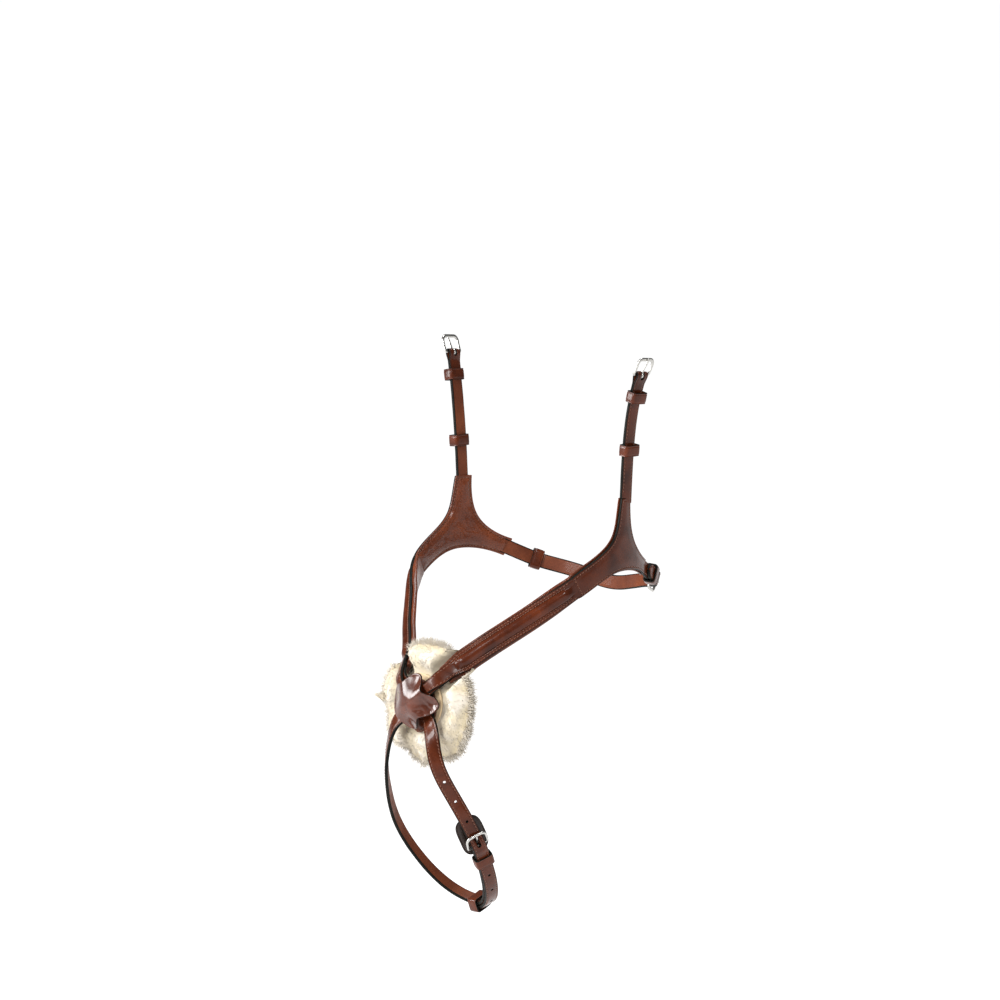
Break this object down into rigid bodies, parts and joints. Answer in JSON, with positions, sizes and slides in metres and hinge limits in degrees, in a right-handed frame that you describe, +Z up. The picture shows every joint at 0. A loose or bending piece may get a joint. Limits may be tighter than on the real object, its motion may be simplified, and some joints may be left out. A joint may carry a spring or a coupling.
{
  "type": "figure-eight noseband",
  "caption": "Padded leather figure-eight noseband for a horse bridle, with a sheepskin nose pad, jaw strap and buckled chin strap.",
  "frame": {"origin": "middle of the rosette, at the crossing of the two diagonal straps on the front of the nose", "axes": "+Z up along the face, -Y the way the horse faces, +X the left side of the horse"},
  "size_m": [0.2518, 0.2614, 0.4973],
  "materials": {
    "strap_leather": "waxed chestnut-brown bridle leather, smooth and glossy, dark dyed edges",
    "boss_leather": "moulded chestnut-brown leather, polished",
    "lining_leather": "soft pebbled brown lining leather, satin",
    "filler": "plain leather filler, matt",
    "hide": "sheep hide, matt",
    "wool": "cream sheepskin wool, soft and tufted",
    "steel": "polished stainless steel"
  },
  "bodies": {
    "root": {"left_cheek_strap": "strap_leather", "left_fixed_keeper": "strap_leather", "left_cheek_plate": "strap_leather", "left_cheek_lining": "lining_leather", "left_nose_top": "strap_leather", "left_nose_core": "filler", "left_nose_lining": "lining_leather", "right_cheek_strap": "strap_leather", "right_fixed_keeper": "strap_leather", "right_cheek_plate": "strap_leather", "right_cheek_lining": "lining_leather", "right_nose_top": "strap_leather", "right_nose_core": "filler", "right_nose_lining": "lining_leather", "chin_buckle_strap": "strap_leather", "chin_billet": "strap_leather", "chin_fixed_keeper": "strap_leather", "chin_guard": "strap_leather", "jaw_buckle_strap": "strap_leather", "jaw_billet": "strap_leather", "jaw_fixed_keeper": "strap_leather", "rosette_cover": "boss_leather", "rosette_base": "strap_leather", "sheepskin_hide": "hide", "sheepskin_wool": "wool"},
    "left_cheek_frame_swing": {"left_cheek_frame": "steel"},
    "left_cheek_tongue_swing": {"left_cheek_tongue": "steel"},
    "right_cheek_frame_swing": {"right_cheek_frame": "steel"},
    "right_cheek_tongue_swing": {"right_cheek_tongue": "steel"},
    "chin_frame_swing": {"chin_frame": "steel"},
    "chin_tongue_swing": {"chin_tongue": "steel"},
    "jaw_frame_swing": {"jaw_frame": "steel"},
    "jaw_tongue_swing": {"jaw_tongue": "steel"},
    "left_lower_keeper_slider": {"left_lower_keeper": "strap_leather"},
    "right_lower_keeper_slider": {"right_lower_keeper": "strap_leather"},
    "chin_running_keeper_slider": {"chin_running_keeper": "strap_leather"},
    "jaw_running_keeper_slider": {"jaw_running_keeper": "strap_leather"}
  },
  "joints": [
    {"name": "left_cheek_frame_hinge", "type": "hinge", "parent": "root", "child": "left_cheek_frame_swing", "pos_m": [0.11636, 0.16089, 0.28405], "axis": [0, 0.9945, -0.1048], "range_deg": [-30, 35]},
    {"name": "left_cheek_tongue_hinge", "type": "hinge", "parent": "left_cheek_frame_swing", "child": "left_cheek_tongue_swing", "pos_m": [0.11636, 0.16089, 0.28405], "axis": [0, 0.9945, -0.1048], "range_deg": [0, 60]},
    {"name": "right_cheek_frame_hinge", "type": "hinge", "parent": "root", "child": "right_cheek_frame_swing", "pos_m": [-0.11636, 0.16089, 0.28405], "axis": [0, -0.9945, 0.1048], "range_deg": [-30, 35]},
    {"name": "right_cheek_tongue_hinge", "type": "hinge", "parent": "right_cheek_frame_swing", "child": "right_cheek_tongue_swing", "pos_m": [-0.11636, 0.16089, 0.28405], "axis": [0, -0.9945, 0.1048], "range_deg": [0, 60]},
    {"name": "chin_frame_hinge", "type": "hinge", "parent": "root", "child": "chin_frame_swing", "pos_m": [0.04691, 0.0294, -0.12451], "axis": [0.4429, 0.7882, 0.4273], "range_deg": [0, 5]},
    {"name": "chin_tongue_hinge", "type": "hinge", "parent": "chin_frame_swing", "child": "chin_tongue_swing", "pos_m": [0.04691, 0.0294, -0.12451], "axis": [0.4429, 0.7882, 0.4273], "range_deg": [0, 3]},
    {"name": "jaw_frame_hinge", "type": "hinge", "parent": "root", "child": "jaw_frame_swing", "pos_m": [0.0647, 0.22814, 0.09268], "axis": [0.0367, -0.3944, -0.9182], "range_deg": [0, 5]},
    {"name": "jaw_tongue_hinge", "type": "hinge", "parent": "jaw_frame_swing", "child": "jaw_tongue_swing", "pos_m": [0.0647, 0.22814, 0.09268], "axis": [0.0367, -0.3944, -0.9182], "range_deg": [0, 3]},
    {"name": "left_lower_keeper_slide", "type": "slide", "parent": "root", "child": "left_lower_keeper_slider", "axis": [0.0939, 0.0029, 0.9956], "range_m": [-0.006, 0.006]},
    {"name": "right_lower_keeper_slide", "type": "slide", "parent": "root", "child": "right_lower_keeper_slider", "axis": [-0.0771, -0.0019, 0.997], "range_m": [-0.006, 0.006]},
    {"name": "chin_running_keeper_slide", "type": "slide", "parent": "root", "child": "chin_running_keeper_slider", "axis": [1, 0, 0], "range_m": [-0.002, 0.002]},
    {"name": "jaw_running_keeper_slide", "type": "slide", "parent": "root", "child": "jaw_running_keeper_slider", "axis": [0.6057, 0.7199, -0.3388], "range_m": [-0.003, 0.003]}
  ]
}
